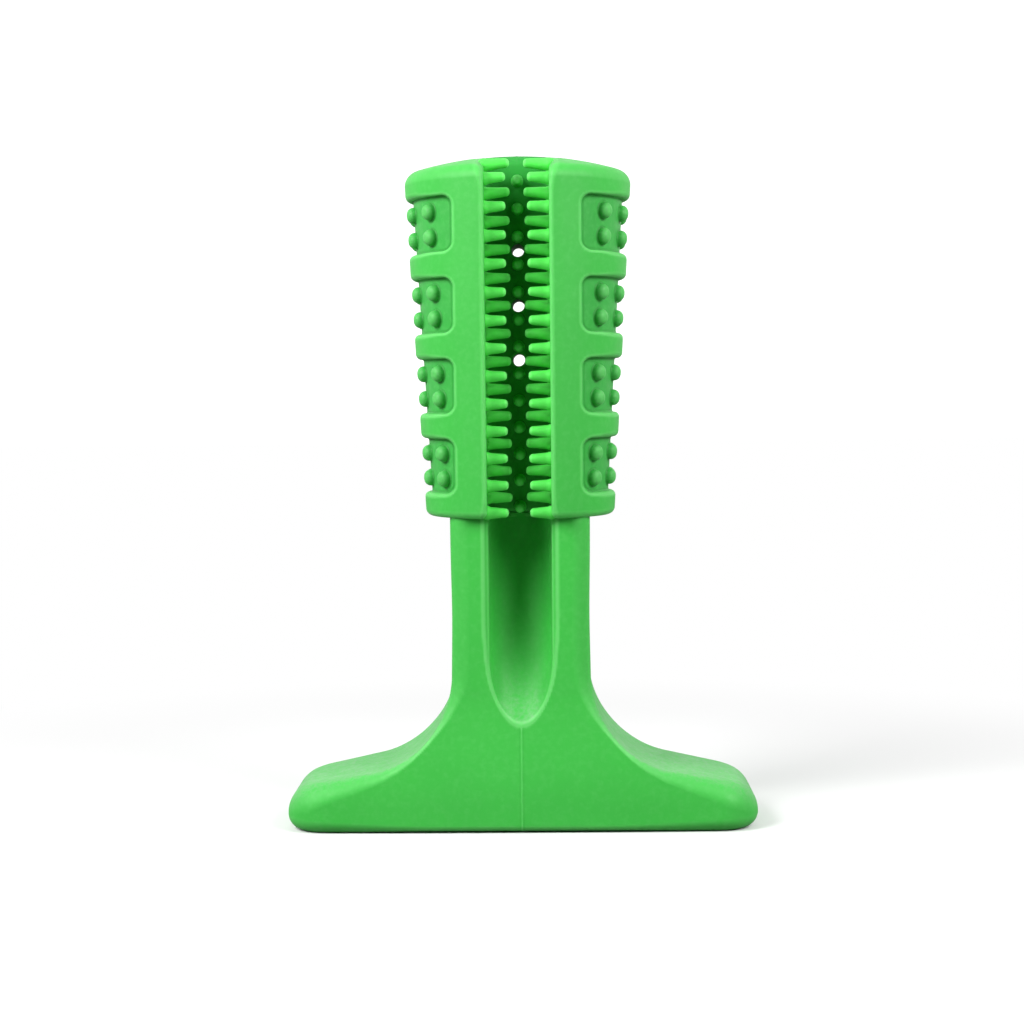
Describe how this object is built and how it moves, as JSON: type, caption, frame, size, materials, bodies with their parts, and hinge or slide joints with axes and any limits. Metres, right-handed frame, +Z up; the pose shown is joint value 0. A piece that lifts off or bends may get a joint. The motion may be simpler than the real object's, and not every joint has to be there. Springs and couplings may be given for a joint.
{
  "type": "pet toothbrush",
  "caption": "Chew stick for dogs: a tapered head with sprung rubber bristle rows in a front channel and nubbed side pockets, on a grooved stem and a wide paw foot.",
  "frame": {"origin": "centre of the foot's flat underside", "axes": "+Z up along the stem and head, bristle channel facing -Y, wings of the foot along X"},
  "size_m": [0.0876, 0.0414, 0.125],
  "materials": {
    "moulded_body": "satin, slightly translucent green",
    "nub_pad": "satin, slightly translucent green",
    "bristle": "satin, slightly translucent green"
  },
  "bodies": {
    "moulding": {"foot": "moulded_body", "stem": "moulded_body", "head": "moulded_body", "left_nub_pad_1": "nub_pad", "left_nub_pad_2": "nub_pad", "left_nub_pad_3": "nub_pad", "left_nub_pad_4": "nub_pad", "right_nub_pad_1": "nub_pad", "right_nub_pad_2": "nub_pad", "right_nub_pad_3": "nub_pad", "right_nub_pad_4": "nub_pad"},
    "left_outer_row": {"left_outer_bristles": "bristle"},
    "left_inner_row": {"left_inner_bristles": "bristle"},
    "right_outer_row": {"right_outer_bristles": "bristle"},
    "right_inner_row": {"right_inner_bristles": "bristle"},
    "centre_row": {"centre_bristles": "bristle"}
  },
  "joints": [
    {"name": "left_outer_flex", "type": "hinge", "parent": "moulding", "child": "left_outer_row", "pos_m": [-0.00585, -0.01467, 0.08835], "axis": [0, -0.0545, 0.9985], "range_deg": [-25, 25], "stiffness_Nm_per_rad": 0.0001},
    {"name": "left_inner_flex", "type": "hinge", "parent": "moulding", "child": "left_inner_row", "pos_m": [-0.00585, -0.01108, 0.08855], "axis": [0, -0.0545, 0.9985], "range_deg": [-25, 25], "stiffness_Nm_per_rad": 0.0001},
    {"name": "right_outer_flex", "type": "hinge", "parent": "moulding", "child": "right_outer_row", "pos_m": [0.00585, -0.01467, 0.08835], "axis": [0, -0.0545, 0.9985], "range_deg": [-25, 25], "stiffness_Nm_per_rad": 0.0001},
    {"name": "right_inner_flex", "type": "hinge", "parent": "moulding", "child": "right_inner_row", "pos_m": [0.00585, -0.01108, 0.08855], "axis": [0, -0.0545, 0.9985], "range_deg": [-25, 25], "stiffness_Nm_per_rad": 0.0001},
    {"name": "centre_flex", "type": "hinge", "parent": "moulding", "child": "centre_row", "pos_m": [0, -0.00369, 0.08895], "axis": [0, -0.0545, 0.9985], "range_deg": [-20, 20], "stiffness_Nm_per_rad": 0.0001}
  ]
}
